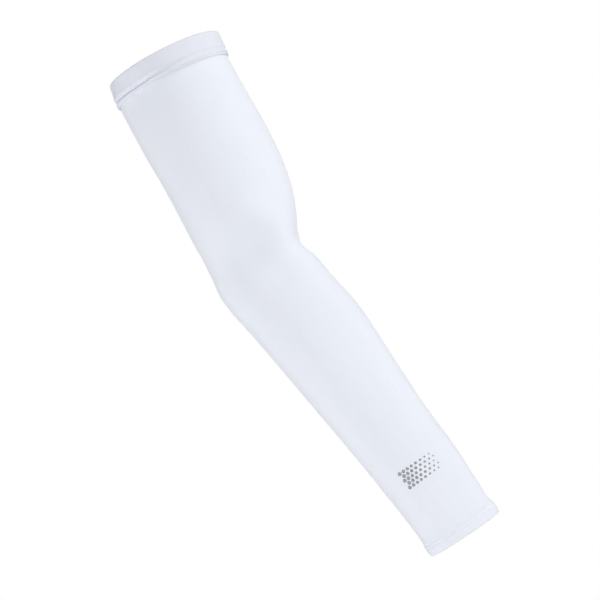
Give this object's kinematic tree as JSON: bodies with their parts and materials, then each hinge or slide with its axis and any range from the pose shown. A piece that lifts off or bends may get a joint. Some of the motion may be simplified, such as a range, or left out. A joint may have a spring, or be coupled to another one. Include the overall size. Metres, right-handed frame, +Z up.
{
  "type": "arm sleeve",
  "caption": "White stretch knit compression sleeve for an arm, in its worn form, with a doubled band at the biceps and a turned hem at the wrist.",
  "frame": {"origin": "middle of the biceps rim, where the sleeve sits on the upper arm", "axes": "+Z up the upper arm to the shoulder, -Y to the front of the arm, +X to the side that the forearm leans to"},
  "size_m": [0.1306, 0.1033, 0.4265],
  "materials": {
    "body_knit": "smooth white stretch knit, one ply, with a faint sheen",
    "band_knit": "white stretch knit, doubled over an elastic, matt",
    "thread": "white textured polyester sewing thread",
    "print_film": "thin grey film pressed on the knit, with a dull metallic glint"
  },
  "bodies": {
    "root": {"sleeve_body": "body_knit", "biceps_band": "band_knit", "wrist_hem": "body_knit"}
  },
  "joints": []
}
